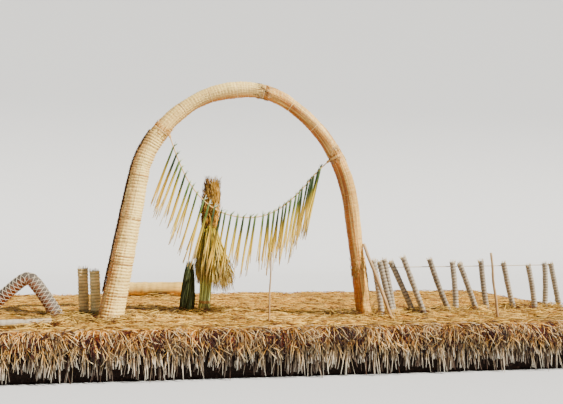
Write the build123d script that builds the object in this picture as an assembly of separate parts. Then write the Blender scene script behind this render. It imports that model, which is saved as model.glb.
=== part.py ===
"""Floating reed raft with a bound reed entrance arch.

Units are millimetres.  X runs along the front edge to the right, Y goes from the front edge to
the back, Z is up.  The origin is the middle of the flat underside, and the water reaches up to
the top of the root blocks.
"""
import math
import os

from build123d import *

os.makedirs("parts", exist_ok=True)

# Raft, overall
raft_length = 12000
raft_width = 6600
corner_cut = 150
draft = 1100
seat_gap = 0.3

# Sawn blocks of root mat below the water
blocks_along = 4
blocks_across = 2
block_gap = 40
block_chamfer = 90

# Reed layers above the water, each laid across the one below
lower_layer = 240
middle_layer = 250
deck_layer = 250
layer_inset = 30

# Shaggy fringe of cut reed ends round the four sides
fringe_thickness = 180
fringe_dip = 60
brow_thickness = 60
brow_drop = 150
tuft_pitch = 200
brow_pitch = 340
tuft_tip_share = 0.3
# what each tuft falls short of the longest one, and how far the notch beside it goes up
tuft_cuts = (0, 150, 60, 210, 100, 30, 180)
tuft_notches = (250, 170, 300, 140, 220)
brow_cuts = (0, 70, 25, 95, 50)
brow_notches = (60, 90, 40)

# Arch, measured along its centreline from the left foot
arch_x = -650
arch_setback = 1630
foot_depth = deck_layer + middle_layer
left_foot_x = -2215
left_lean = 10.2
left_straight = 2560
# turn in degrees, radius
arch_bends = ((17, 1400), (14, 2600), (49, 1850), (31, 1340), (52, 2550))
bundle_sides = 12
# straight runs over the deck
left_foot_run = 150
right_foot_run = 540
shoulder_joint = 3400
crown_joint = 5500
haunch_joint = 7250
lap_height = 840
lap_slant = 32
# distance along the arch, diameter there
left_leg_girth = ((0, 425), (1940, 360), (2800, 312), (3400, 304))
left_crown_girth = ((3400, 288), (4130, 252), (4900, 290), (5500, 256))
right_crown_girth = ((5500, 246), (6200, 232), (7250, 266))
right_leg_girth = ((7250, 268), (8000, 284), (8800, 262), (9700, 250))

# Rope ties round the arch, each in the neck that it pulls
tie_width = 26
tie_thickness = 10
tie_sink = 5
neck_margin = 3
swell_run = 34
longest_section = 330
left_leg_ties = (420, 965, 1097, 1750, 2520)
crown_ties = (3400, 3960, 4500, 5000, 5500, 6060, 6640)
right_leg_ties = (7250, 8050, 8860, 9230, 10010)

# Garland rope slung inside the arch
garland_radius = 10
garland_sides = 4
garland_tie_width = 40
garland_lug_radius = 22
garland_lug_sides = 6
garland_lug_length = 60
garland_lug_clear = 3
left_garland_tie = 3450
right_garland_tie = 7310
# route between the two knots: x from the middle of the arch, height above the deck
garland_route = (
    (-1187, 3013), (-1135, 2866), (-1052, 2662), (-950, 2448), (-822, 2246), (-668, 2068),
    (-482, 1916), (-262, 1812), (-22, 1758), (228, 1746), (462, 1792), (676, 1890),
    (866, 2022), (1040, 2184), (1198, 2350), (1334, 2508), (1452, 2638),
)

# Reeds folded over the garland rope
reed_width = 24
reed_thickness = 10
reed_short_end = 110
# pitch, first and last place along the rope (0 to 1), slant and length at the first and last
hung_reeds = {
    "garland_reeds_left": (130, 0.05, 0.35, (21, 14), (1150, 1400)),
    "garland_reeds_middle": (112, 0.384, 0.632, (12.5, 7), (1250, 1080)),
    "garland_reeds_right": (98, 0.658, 0.962, (7, 12), (1180, 1420)),
}

# Standing sheaf behind the arch, its y measured from the raft's front edge
sheaf_x = -1267
sheaf_y = 2424
sheaf_lean = 3.4
sheaf_sides = 16
sheaf_foot_radius = 140
sheaf_foot_depth = 20
sheaf_waist_radius = 105
sheaf_waist_height = 190
sheaf_belly_radius = 235
sheaf_belly_height = 760
sheaf_shoulder_radius = 215
sheaf_shoulder_height = 1180
sheaf_neck_radius = 150
sheaf_neck_height = 1600
sheaf_height = 2534
sheaf_tie_thickness = 14
sheaf_tie_width = 50
# share of the head's height, radius there over the neck's
head_profile = ((0, 0), (0.2, 22), (0.5, 8), (0.85, -30), (1, -85))
skirt_blades = 7
skirt_reach = 540
skirt_bottom = 430
skirt_top = 1480
blade_radius = 20
blade_taper = 0.5
side_bundle_offset = 340
side_bundle_radius = 140
side_bundle_top_radius = 60
side_bundle_lean = 25
side_bundle_height = 920

# Poles and stakes, their feet measured from the middle of the raft's front edge
prop_radius = 32
prop_foot = (1965, 1110)
prop_height = 1290
prop_bearing = -38
# foot x, foot y, lean along x in degrees, radius, height above the deck
stakes = {
    "mooring_stake_front": (-210, 883, 1.8, 16, 1153),
    "mooring_stake_right": (3829, 957, -4.9, 24, 1132),
}
stake_taper = 3
stake_shoulder = 20
stake_flats = 8

# Thin reed rolls in a row on the right, with a rope behind them.  Each stands in front of the
# row's line by the first value, and runs through points: distance along the row, height over the
# deck.  The row starts at a point measured from the middle of the front edge, ends at one from
# the raft's right front corner, and holds the rolls that have room as far as its overrun.
roll_sides = 10
roll_radius = 55
row_start = (1960, 1660)
row_end = (-360, 2300)
row_overrun = 230
thin_rolls = (
    (130, ((-75, 0), (-235, 985))),
    (130, ((135, 0), (-110, 960))),
    (0, ((233, 0), (50, 985))),
    (0, ((643, 0), (185, 950))),
    (130, ((787, 0), (370, 1030))),
    (0, ((1404, 0), (1000, 985))),
    (0, ((1550, 0), (1490, 930))),
    (0, ((2005, 0), (1650, 900))),
    (0, ((2238, 0), (2130, 940))),
    (0, ((2860, 0), (2650, 900))),
    (130, ((3250, 0), (3120, 850))),
    (0, ((3600, 0), (3630, 880))),
    (0, ((3960, 0), (3780, 870))),
)
rail_rope_radius = 7
rail_rope_height = 850
rail_overrun = 150

# Thick rolls on the left, in a row that is measured from the raft's left front corner
thick_row_start = (2830, 2000)
thick_row_end = (830, 2060)
thick_roll_radius = 92
thick_rolls = (
    (0, ((0, 0), (36, 800))),
    (0, ((200, 0), (240, 843))),
)
thick_fold_radius = 110
thick_folded_roll = ((0, ((642, 0), (1113, 680), (1243, 680), (1994, 0))),)

# Logs of bound reed lying on the deck, the edge log's ends also from that corner, the seat's
# from the middle of the back edge
log_sides = 16
edge_log_radius = 58
edge_log_ends = ((480, 690), (2330, 900))
seat_log_radius = 165
seat_log_ends = ((-3050, -580), (-1520, -740))

waterline = draft
layer_bottoms = {
    "lower_reeds": waterline,
    "middle_reeds": waterline + lower_layer,
    "deck_reeds": waterline + lower_layer + middle_layer,
}
deck_top = layer_bottoms["deck_reeds"] + deck_layer
core_length = raft_length - 2 * fringe_thickness
core_width = raft_width - 2 * fringe_thickness
front_corner = (-raft_length / 2, -raft_width / 2)
arch_origin = Vector(arch_x, front_corner[1] + arch_setback, deck_top)
up = Vector(0, 0, 1)
bottom_seated = (Align.CENTER, Align.CENTER, Align.MIN)


def spread(first, last, count):
    return [first + (last - first) * i / (count - 1) for i in range(count)]


def from_table(table, place):
    """Value from a table of places and values, straight between its rows."""
    for (s0, v0), (s1, v1) in zip(table, table[1:]):
        if place <= s1:
            return v0 + (v1 - v0) * max(place - s0, 0) / (s1 - s0)
    return table[-1][1]


def slab(length, width, bottom, height):
    """Flat layer with cut corners."""
    outline = Rectangle(length, width)
    return Pos(0, 0, bottom) * extrude(chamfer(outline.vertices(), corner_cut), height)


def from_corner(place):
    """Point on the deck, measured from the raft's left front corner."""
    return front_corner[0] + place[0], front_corner[1] + place[1]


def from_front(place):
    """Point on the deck, measured from the middle of the raft's front edge."""
    return place[0], front_corner[1] + place[1]


def from_right_corner(place):
    return place[0] - front_corner[0], front_corner[1] + place[1]


def from_back(place):
    return place[0], place[1] - front_corner[1]


def rod(start, end, radius):
    """Round bar between two points."""
    place = Plane(origin=start, z_dir=end - start)
    return place * Cylinder(radius, (end - start).length, align=bottom_seated)


def flat_cone(low_radius, high_radius, height, sides):
    """Upright bar with flats, narrower or wider at its top."""
    inwards = (low_radius - high_radius) * math.cos(math.pi / sides)
    slope = math.degrees(math.atan(inwards / height))
    return extrude(RegularPolygon(low_radius, sides), height, taper=slope)


def reed_bar(start, end, radius, sides, end_radius=None, edge_way=None):
    """Straight bundle with flats, even or tapered, with an edge towards a given side."""
    place = Plane(origin=start, x_dir=edge_way, z_dir=end - start)
    last = radius if end_radius is None else end_radius
    return place * flat_cone(radius, last, (end - start).length, sides)


def above(level):
    """Everything over one level, as a block to cut with."""
    reach = raft_length
    return Pos(0, 0, level) * Box(reach, reach, reach, align=bottom_seated)


# Arch

def arch_station(distance):
    """Point on the centreline and the way along it, at a distance from the left foot."""
    heading = math.radians(left_lean)
    run = min(distance, left_straight)
    x = left_foot_x + run * math.sin(heading)
    z = run * math.cos(heading)
    left = distance - run
    for turn, radius in arch_bends:
        angle = min(math.radians(turn), left / radius)
        x += radius * (math.cos(heading) - math.cos(heading + angle))
        z += radius * (math.sin(heading + angle) - math.sin(heading))
        heading += angle
        left -= radius * angle
    x += left * math.sin(heading)
    z += left * math.cos(heading)
    along = Vector(math.sin(heading), 0, math.cos(heading))
    return arch_origin + Vector(x, 0, z), along


def arch_plane(distance):
    """Plane across the arch at a distance along it."""
    point, along = arch_station(distance)
    return Plane(origin=point, x_dir=(0, 1, 0), z_dir=along)


bend_length = sum(math.radians(turn) * radius for turn, radius in arch_bends)
right_leg_start = left_straight + bend_length
right_top, right_along = arch_station(right_leg_start)
right_foot = right_leg_start + (right_top.Z - deck_top) / -right_along.Z
left_along = arch_station(0)[1]
left_end = -1.25 * foot_depth / left_along.Z
right_end = right_foot + 1.25 * foot_depth / -right_along.Z
right_stub_start = right_foot - right_foot_run
tie_widths = dict.fromkeys(left_leg_ties + crown_ties + right_leg_ties, tie_width)
tie_widths |= dict.fromkeys((left_garland_tie, right_garland_tie), garland_tie_width)


def bundle_radius(girths, distance):
    """Radius of a bundle: level under a tie, and full again a short run beyond it."""
    clear, place = min((abs(distance - p) - w / 2, p) for p, w in tie_widths.items())
    clear = max(clear - neck_margin, 0)
    if clear < swell_run:
        return from_table(girths, place) / 2 - tie_sink * (1 - clear / swell_run)
    return from_table(girths, distance) / 2


def bundle(girths, start, end):
    """Tapered bundle along the arch, narrow in its ties and full between them."""
    held = {start, end}
    for place, width in tie_widths.items():
        neck = width / 2 + neck_margin
        for reach in (-neck - swell_run, -neck, neck, neck + swell_run):
            if start < place + reach < end:
                held.add(place + reach)
    held = sorted(held)
    stations = [start]
    for before, here in zip(held, held[1:]):
        parts = math.ceil((here - before) / longest_section)
        stations += [before + (here - before) * n / parts for n in range(1, parts + 1)]
    sections = [
        arch_plane(s) * RegularPolygon(bundle_radius(girths, s), bundle_sides) for s in stations
    ]
    return loft(sections, ruled=True)


def stub(start, end, girth, grow):
    """Straight buried end of the arch, which also shapes its socket."""
    length = abs(end - start)
    low = min(start, end)
    return arch_plane(low) * extrude(RegularPolygon(girth / 2 + grow, bundle_sides), length)


def left_stub(grow=0.0):
    return stub(left_end, left_foot_run, from_table(left_leg_girth, left_foot_run), grow)


def right_stub(grow=0.0):
    return stub(right_stub_start, right_end, right_leg_girth[-1][1], grow)


def left_leg():
    leg = bundle(left_leg_girth, left_foot_run, shoulder_joint) + left_stub()
    return leg & above(deck_top - foot_depth)


def right_side():
    """The whole right leg, before it is parted at the slanting lap."""
    leg = bundle(right_leg_girth, haunch_joint, right_stub_start) + right_stub()
    return leg & above(deck_top - foot_depth)


def lap_plane():
    """Slanting joint between the right leg and its foot bundle, long side outwards."""
    centre, along = arch_station(right_foot - lap_height / -right_along.Z)
    outwards = Vector(0, 1, 0).cross(along)
    slant = math.radians(lap_slant)
    steep = along * math.cos(slant) + outwards * math.sin(slant)
    return Plane(origin=centre, x_dir=(0, 1, 0), z_dir=steep.cross(Vector(0, 1, 0)))


def tie_seat(distance):
    """Radius that a tie has to clear, with the larger piece where two meet."""
    if distance > right_stub_start:
        return right_leg_girth[-1][1] / 2
    girths = (left_leg_girth, left_crown_girth, right_crown_girth, right_leg_girth)
    meeting = [g for g in girths if g[0][0] <= distance <= g[-1][0]]
    return max(from_table(g, distance) for g in meeting) / 2 - tie_sink


def tie(distance, width):
    """Flat band of rope round the arch."""
    inner = tie_seat(distance) + seat_gap / math.cos(math.pi / bundle_sides)
    ring = RegularPolygon(inner + tie_thickness, bundle_sides) - RegularPolygon(inner, bundle_sides)
    return arch_plane(distance) * Pos(0, 0, -width / 2) * extrude(ring, width)


def ties(places):
    return [tie(distance, tie_width) for distance in places]


# Garland

route = [arch_origin + Vector(x, 0, height) for x, height in garland_route]


def garland_lug(distance, towards):
    """Knot on the arch's inner side: where it starts on its tie, and where the rope leaves it."""
    point, along = arch_station(distance)
    inwards = Vector(0, 1, 0).cross(along)
    root = point + inwards * (tie_seat(distance) + tie_thickness)
    return root, root + (towards - root).normalized() * garland_lug_length


left_lug = garland_lug(left_garland_tie, route[0])
right_lug = garland_lug(right_garland_tie, route[-1])


def garland_ties():
    knots = []
    for distance, (root, end) in ((left_garland_tie, left_lug), (right_garland_tie, right_lug)):
        clear_of = tie_seat(distance) + tie_sink + garland_lug_clear
        bundle_space = RegularPolygon(clear_of, bundle_sides)
        bundle_space = arch_plane(distance) * extrude(bundle_space, garland_lug_length, both=True)
        back = root + (root - end).normalized() * 2 * garland_lug_radius
        lug = reed_bar(back, end, garland_lug_radius, garland_lug_sides) - bundle_space
        knots.append(tie(distance, garland_tie_width) + lug)
    return knots


def smooth_path(points):
    """Straight runs joined by tangent arcs as large as the runs allow."""
    radii = []
    for before, here, after in zip(points, points[1:], points[2:]):
        turn = (here - before).get_angle(after - here)
        shorter = min((here - before).length, (after - here).length)
        radii.append(0.45 * shorter / math.tan(math.radians(turn / 2)))
    print("garland bend radii", [round(r) for r in radii])
    return FilletPolyline(*points, radius=radii)


garland_path = smooth_path([left_lug[1]] + route + [right_lug[1]])


def garland_rope():
    along = garland_path % 0
    start = Plane(origin=garland_path @ 0, x_dir=along.cross(Vector(0, 1, 0)), z_dir=along)
    return sweep(start * RegularPolygon(garland_radius, garland_sides), path=garland_path)


def folded_reed(place, slant, length):
    """Flat reed folded over the rope: long end in front, short end behind."""
    lean = Vector(math.sin(slant), 0, math.cos(slant))
    rope_way = garland_path % place
    steepness = abs(rope_way.dot(lean))
    across = math.sqrt(1 - steepness**2)
    fold_height = (garland_radius + reed_width / 2 * steepness) / across + 2 * seat_gap
    half = garland_radius + seat_gap
    outer = half + reed_thickness
    top = fold_height + reed_thickness
    side_view = Polyline(
        (-outer, -length), (-outer, top), (outer, top), (outer, -reed_short_end),
        (half, -reed_short_end), (half, fold_height), (-half, fold_height), (-half, -length),
        close=True,
    )
    fold = Plane(origin=garland_path @ place, x_dir=(0, 1, 0), z_dir=Vector(0, 1, 0).cross(lean))
    return fold * extrude(make_face(side_view), reed_width / 2, both=True)


def hung_reed_group(pitch, first, last, slants, lengths):
    count = 1 + round((last - first) * garland_path.length / pitch)
    rows = zip(spread(first, last, count), spread(*slants, count), spread(*lengths, count))
    return [folded_reed(place, math.radians(slant), length) for place, slant, length in rows]


# Sheaf

def sheaf_at(shape):
    return Pos(*from_front((sheaf_x, sheaf_y)), deck_top) * Rot(0, sheaf_lean, 0) * shape


def stacked(profile):
    """Upright bundle with flats, through (radius, height) sections."""
    bars = [
        Pos(0, 0, z0) * flat_cone(r0, r1, z1 - z0, sheaf_sides)
        for (r0, z0), (r1, z1) in zip(profile, profile[1:])
    ]
    return bars[0].fuse(*bars[1:])


waist_low = sheaf_waist_height - sheaf_tie_width / 2
waist_high = sheaf_waist_height + sheaf_tie_width / 2


def sheaf_body():
    """Stalks from the foot, cut level with the deck, to the neck."""
    return sheaf_at(stacked((
        (sheaf_foot_radius, -sheaf_foot_depth),
        (sheaf_waist_radius, waist_low),
        (sheaf_waist_radius, waist_high),
        (0.6 * sheaf_waist_radius + 0.4 * sheaf_belly_radius, waist_high + sheaf_waist_radius),
        (sheaf_belly_radius, sheaf_belly_height),
        (sheaf_shoulder_radius, sheaf_shoulder_height),
        (sheaf_neck_radius, sheaf_neck_height),
    ))) & above(deck_top)


def sheaf_head():
    tall = sheaf_height - sheaf_neck_height
    sections = [(sheaf_neck_radius + extra, sheaf_neck_height + share * tall)
                for share, extra in head_profile]
    return sheaf_at(stacked(sections))


def sheaf_tie():
    inner = sheaf_waist_radius + seat_gap / math.cos(math.pi / sheaf_sides)
    outer = inner + sheaf_tie_thickness
    ring = RegularPolygon(outer, sheaf_sides) - RegularPolygon(inner, sheaf_sides)
    return sheaf_at(Pos(0, 0, waist_low) * extrude(ring, sheaf_tie_width))


def sheaf_skirt():
    """Fan of reeds that droops from under the neck on the right side, off the body's edges."""
    run = sheaf_neck_height - sheaf_shoulder_height
    slope = (sheaf_shoulder_radius - sheaf_neck_radius) / run
    body_radius = sheaf_neck_radius + slope * (sheaf_neck_height - skirt_top)
    top_radius = body_radius + (blade_radius + seat_gap) * math.hypot(1, slope)
    blades = []
    for n in range(skirt_blades):
        way = Vector(1, 0, 0).rotate(Axis.Z, (n - skirt_blades // 2) * 360 / sheaf_sides)
        top = way * top_radius + up * skirt_top
        low = way * skirt_reach + up * skirt_bottom
        tip_radius = blade_radius * blade_taper
        edge_way = (low - top).cross(up.cross(way))
        blade = reed_bar(top, low, blade_radius, 6, tip_radius, edge_way)
        blades.append(sheaf_at(blade))
    return blades


def sheaf_side_bundle():
    """Small darker bundle that stands close on the left."""
    foot = Vector(-side_bundle_offset, 0, 0)
    top = foot + Vector(side_bundle_lean, 0, side_bundle_height)
    below = foot - (top - foot).normalized() * side_bundle_radius
    bar = reed_bar(below, top, side_bundle_radius, roll_sides, side_bundle_top_radius)
    return sheaf_at(bar) & above(deck_top)


# Poles and stakes

def prop_pole():
    """Pole whose top end rests on the outside of the right leg."""
    station = right_foot - prop_height / -right_along.Z
    leg_centre, _ = arch_station(station)
    leg_radius = from_table(right_leg_girth, station) / 2
    bearing = math.radians(prop_bearing)
    outwards = Vector(math.cos(bearing), math.sin(bearing), 0)
    top = leg_centre + outwards * (leg_radius + prop_radius + seat_gap)
    foot = Vector(*from_front(prop_foot), deck_top)
    beyond = foot + (foot - top).normalized() * 3 * prop_radius
    return rod(top, beyond, prop_radius) & above(deck_top)


def stake_line(name):
    foot = Vector(*from_front(stakes[name]), deck_top)
    slope = math.radians(stakes[name][2])
    return foot, Vector(math.sin(slope), 0, math.cos(slope))


def stake_point(name, grow=0.0):
    """Thinner hewn end of a stake, driven through the upper reed layers."""
    foot, way = stake_line(name)
    low = foot - way * 1.1 * foot_depth
    radius = stakes[name][3] - stake_taper + grow
    return reed_bar(low, foot + way * stake_shoulder, radius, stake_flats)


def stake(name):
    foot, way = stake_line(name)
    radius, height = stakes[name][3:]
    shaft = rod(foot + way * stake_shoulder, foot + way * height, radius)
    return (shaft + stake_point(name)) & above(deck_top - foot_depth)


# Rolls and logs

def thin_row():
    return from_front(row_start), from_right_corner(row_end)


def with_room(rolls, line, overrun):
    """The rolls of a row that stand no further than a little past its end."""
    reach = math.dist(*line) + overrun
    return [roll for roll in rolls if roll[1][0][0] <= reach]


def standing_rolls(rolls, line, radius):
    """Rolls that stand on the deck along a line, straight or folded over through their points."""
    start, end = (Vector(*place, deck_top) for place in line)
    along = (end - start).normalized()
    forwards = along.cross(up)
    standing = []
    for offset, places in rolls:
        points = [start + forwards * offset + along * s + up * height for s, height in places]
        bars = []
        for low, high in zip(points, points[1:]):
            overlap = (high - low).normalized() * radius / 2
            first = low - overlap * (4 if low is points[0] else 1)
            last = high + overlap * (4 if high.Z == deck_top else 1)
            bars.append(reed_bar(first, last, radius, roll_sides, edge_way=forwards))
        roll = bars[0].fuse(*bars[1:]) if bars[1:] else bars[0]
        standing.append(roll & above(deck_top))
    return standing


def rail_rope():
    """Rope stretched behind the row of thin rolls, which lean against it."""
    start, end = (Vector(*place, deck_top) for place in thin_row())
    along = (end - start).normalized()
    shift = up.cross(along) * (roll_radius + rail_rope_radius + seat_gap)
    shift += up * rail_rope_height
    overrun = along * rail_overrun
    return rod(start + shift - overrun, end + shift + overrun, rail_rope_radius)


def lying_log(ends, radius):
    lift = up * (deck_top + radius + seat_gap)
    start, end = (Vector(*place) + lift for place in ends)
    return reed_bar(start, end, radius, log_sides, edge_way=up)


# Raft

def root_blocks():
    pitch_x = (core_length + block_gap) / blocks_along
    pitch_y = (core_width + block_gap) / blocks_across
    block = Box(pitch_x - block_gap, pitch_y - block_gap, draft, align=bottom_seated)
    block = chamfer(block.edges().filter_by(Axis.Z), block_chamfer)
    block = chamfer(block.faces().sort_by(Axis.Z)[0].edges(), block_chamfer / 2)
    places = [
        Pos((i - (blocks_along - 1) / 2) * pitch_x, (j - (blocks_across - 1) / 2) * pitch_y, 0)
        for j in range(blocks_across)
        for i in range(blocks_along)
    ]
    return {f"root_block_{n}": place * block for n, place in enumerate(places, 1)}


def layers():
    """Three crosswise layers, the upper two with sockets for the arch and the stakes."""
    holes = [left_stub(seat_gap), right_stub(seat_gap)]
    holes += [stake_point(name, seat_gap) for name in stakes]
    bottoms = layer_bottoms
    lower = slab(
        core_length - 2 * layer_inset, core_width - 2 * layer_inset, bottoms["lower_reeds"],
        lower_layer,
    )
    middle = slab(core_length, core_width, bottoms["middle_reeds"], middle_layer) - holes
    deck = slab(raft_length, raft_width, bottoms["deck_reeds"], deck_layer) - holes
    return {"lower_reeds": lower, "middle_reeds": middle, "deck_reeds": deck}


def ragged_wall(length, pitch, cuts, notches, top, low, thickness):
    """Hanging wall of tufts from x = 0, in front of y = 0: even above, ragged below."""
    count = round(length / pitch)
    step = length / count
    half_tip = step * tuft_tip_share / 2
    outline = [(0, top)]
    for i in range(count):
        tip = low + cuts[i % len(cuts)]
        middle = (i + 0.5) * step
        outline.append((i * step, tip + notches[i % len(notches)]))
        outline.append((middle - half_tip, tip))
        outline.append((middle + half_tip, tip))
    outline.append((length, low + notches[0]))
    outline.append((length, top))
    return extrude(make_face(Plane.XZ * Polyline(*outline, close=True)), thickness)


def fringe(length):
    """One side's fringe: long butts behind, and a thicker brow over them."""
    top = layer_bottoms["deck_reeds"]
    thick = fringe_thickness - seat_gap
    butts = ragged_wall(
        length, tuft_pitch, tuft_cuts, tuft_notches, top, waterline - fringe_dip,
        thick - brow_thickness,
    )
    brow = ragged_wall(
        length, brow_pitch, brow_cuts, brow_notches, top, top - brow_drop - max(brow_cuts), thick
    )
    return butts + brow


def fringes():
    outline = slab(raft_length, raft_width, 0, deck_top)
    half_length, half_width = core_length / 2 + seat_gap, core_width / 2 + seat_gap
    front = Pos(-raft_length / 2, -half_width, 0) * fringe(raft_length) & outline
    right = Pos(half_length, -core_width / 2, 0) * Rot(0, 0, 90) * fringe(core_width) & outline
    half_turn = Rot(0, 0, 180)
    return {
        "fringe_front": front,
        "fringe_back": half_turn * front,
        "fringe_right": right,
        "fringe_left": half_turn * right,
    }


def build_all():
    right = right_side()
    nodes = {**root_blocks(), **layers(), **fringes()}
    nodes["arch_left_leg"] = left_leg()
    nodes["arch_left_crown"] = bundle(left_crown_girth, shoulder_joint, crown_joint)
    nodes["arch_right_crown"] = bundle(right_crown_girth, crown_joint, haunch_joint)
    nodes["arch_right_leg"] = split(right, bisect_by=lap_plane(), keep=Keep.BOTTOM)
    nodes["arch_right_foot"] = split(right, bisect_by=lap_plane(), keep=Keep.TOP)
    nodes["ties_left_leg"] = ties(left_leg_ties)
    nodes["ties_crown"] = ties(crown_ties)
    nodes["ties_right_leg"] = ties(right_leg_ties)
    nodes["garland_ties"] = garland_ties()
    nodes["garland_rope"] = garland_rope()
    for name, row in hung_reeds.items():
        nodes[name] = hung_reed_group(*row)
    nodes["sheaf_body"] = sheaf_body()
    nodes["sheaf_head"] = sheaf_head()
    nodes["sheaf_tie"] = sheaf_tie()
    nodes["sheaf_skirt"] = sheaf_skirt()
    nodes["sheaf_side_bundle"] = sheaf_side_bundle()
    nodes["prop_pole"] = prop_pole()
    for name in stakes:
        nodes[name] = stake(name)
    row = thin_row()
    nodes["thin_rolls"] = standing_rolls(with_room(thin_rolls, row, row_overrun), row, roll_radius)
    nodes["rail_rope"] = rail_rope()
    row = (from_corner(thick_row_start), from_corner(thick_row_end))
    nodes["thick_rolls"] = standing_rolls(thick_rolls, row, thick_roll_radius)
    nodes["thick_folded_roll"] = standing_rolls(thick_folded_roll, row, thick_fold_radius)
    nodes["edge_log"] = lying_log(map(from_corner, edge_log_ends), edge_log_radius)
    nodes["seat_log"] = lying_log(map(from_back, seat_log_ends), seat_log_radius)
    return nodes


for node, shape in build_all().items():
    solid = Compound(children=list(shape)) if isinstance(shape, list) else shape
    export_step(solid, f"parts/{node}.step")

print("garland rope length", round(garland_path.length))
print("garland rope ends", left_lug[1], right_lug[1])
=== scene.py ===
"""Looks of the floating reed raft with its bound reed entrance arch.

Everything is in metres in the model's own frame: X along the front edge to the right, Y to the
back, Z up, the origin in the middle of the flat underside.  The water is at z = 1.1.
"""
import math

import bpy
import numpy as np
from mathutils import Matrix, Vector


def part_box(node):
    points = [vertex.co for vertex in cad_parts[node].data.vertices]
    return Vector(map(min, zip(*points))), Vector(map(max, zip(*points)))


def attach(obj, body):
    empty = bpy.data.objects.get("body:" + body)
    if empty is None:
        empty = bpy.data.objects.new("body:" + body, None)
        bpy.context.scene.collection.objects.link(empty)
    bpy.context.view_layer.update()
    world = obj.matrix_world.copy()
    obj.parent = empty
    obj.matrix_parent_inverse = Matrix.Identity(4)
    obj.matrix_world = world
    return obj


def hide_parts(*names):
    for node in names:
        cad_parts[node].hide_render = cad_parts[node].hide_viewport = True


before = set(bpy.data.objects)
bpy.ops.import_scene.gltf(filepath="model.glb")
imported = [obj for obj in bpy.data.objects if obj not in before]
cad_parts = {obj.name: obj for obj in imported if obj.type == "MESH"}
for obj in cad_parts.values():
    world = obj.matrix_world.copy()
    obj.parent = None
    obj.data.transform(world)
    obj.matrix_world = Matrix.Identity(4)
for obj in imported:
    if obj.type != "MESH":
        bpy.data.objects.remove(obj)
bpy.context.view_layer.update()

# Raft
waterline = 1.1
half_length = 6.0
half_width = 3.3
corner_cut = 0.15
edge_round = 0.15
deck_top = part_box("deck_reeds")[1].z
deck_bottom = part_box("deck_reeds")[0].z
# how far the mat of loose straw lies under the top of the solid deck
mat_drop = 0.012

# What stands on it: feet, and rows from the first to the last roll
sheaf_place = (-1.267, -0.876)
sheaf_lean = math.radians(3.4)
right_row = ((1.96, -1.64), (5.64, -1.0))
left_row = ((-half_length + 2.83, -half_width + 2.0), (-half_length + 0.83, -half_width + 2.06))
thin_radius = 0.055
thick_radius = 0.092

# Arch centreline from the left foot, as turn in degrees and radius
arch_middle = np.array([-0.65, -1.67, deck_top])
left_foot_x = -2.215
left_lean = math.radians(10.2)
left_straight = 2.56
arch_bends = ((17, 1.4), (14, 2.6), (49, 1.85), (31, 1.34), (52, 2.55))
shoulder_joint = 3.4
crown_joint = 5.5
haunch_joint = 7.25
right_end = 10.27
lap_middle = 9.4
lap_reach = 0.21
buried = 0.1
# distance along the arch, diameter there
left_leg_girth = ((0, 0.425), (1.94, 0.36), (2.8, 0.312), (3.4, 0.304))
left_crown_girth = ((3.4, 0.288), (4.13, 0.252), (4.9, 0.29), (5.5, 0.256))
right_crown_girth = ((5.5, 0.246), (6.2, 0.232), (7.25, 0.266))
right_leg_girth = ((7.25, 0.268), (8.0, 0.284), (8.8, 0.262), (9.7, 0.25))
left_leg_ties = (0.42, 0.965, 1.097, 1.75, 2.52)
crown_ties = (3.4, 3.96, 4.5, 5.0, 5.5, 6.06, 6.64)
right_leg_ties = (7.25, 8.05, 8.86, 9.23, 10.01)
garland_tie_places = (3.45, 7.31)
all_ties = left_leg_ties + crown_ties + right_leg_ties + garland_tie_places
tie_sink = 0.005
tie_reach = 0.03

# Garland rope between its two knots: x from the middle of the arch, height above the deck
rope_start = (-1.8885, -1.67, 5.0045)
rope_end = (0.9379, -1.67, 4.6049)
rope_diameter = 0.02
rope_route = (
    (-1.187, 3.013), (-1.135, 2.866), (-1.052, 2.662), (-0.95, 2.448), (-0.822, 2.246),
    (-0.668, 2.068), (-0.482, 1.916), (-0.262, 1.812), (-0.022, 1.758), (0.228, 1.746),
    (0.462, 1.792), (0.676, 1.89), (0.866, 2.022), (1.04, 2.184), (1.198, 2.35),
    (1.334, 2.508), (1.452, 2.638),
)

up = np.array([0.0, 0.0, 1.0])
along_y = np.array([0.0, 1.0, 0.0])
full_turn = 2 * math.pi


# Mesh tools

def unit(vectors):
    return vectors / np.linalg.norm(vectors, axis=-1, keepdims=True)


def lerp(start, end, share):
    return start + (end - start) * share


def columns(*values):
    """Values side by side along a last axis, as for x, y and z or a face's corners."""
    return np.stack(np.broadcast_arrays(*values), axis=-1)


def smooth_noise(seed, scale, *coordinates, waves=14):
    """Soft noise, about -1 to 1, from a few crossing waves; scale is the size of its lumps."""
    rng = np.random.default_rng(seed)
    total = 0.0
    for _ in range(waves):
        way = rng.normal(size=len(coordinates))
        way *= full_turn * rng.uniform(0.5, 1.5) / (scale * np.linalg.norm(way))
        phase = rng.uniform(0, full_turn)
        total = total + np.cos(sum(w * c for w, c in zip(way, coordinates)) + phase)
    return total / math.sqrt(waves)


def linked(name, data):
    """New object in the scene."""
    made = bpy.data.objects.new(name, data)
    bpy.context.scene.collection.objects.link(made)
    return made


def mesh_piece(name, points, quads, triangles, attributes, material, slot, replaces=()):
    """Mesh object from arrays, which rides on the raft."""
    faces = quads.reshape(-1, 4).tolist() + triangles.reshape(-1, 3).tolist()
    mesh = bpy.data.meshes.new(name)
    mesh.from_pydata(np.reshape(points, (-1, 3)), [], faces, shade_flat=False)
    for key, values in attributes.items():
        kind, field = ("FLOAT_VECTOR", "vector") if key == "reed" else ("FLOAT", "value")
        layer = mesh.attributes.new(key, kind, "POINT")
        layer.data.foreach_set(field, np.asarray(values, np.float32).ravel())
    mesh.materials.append(material)
    piece = linked(name, mesh)
    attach(piece, "root")
    if replaces:
        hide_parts(*replaces)


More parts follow.
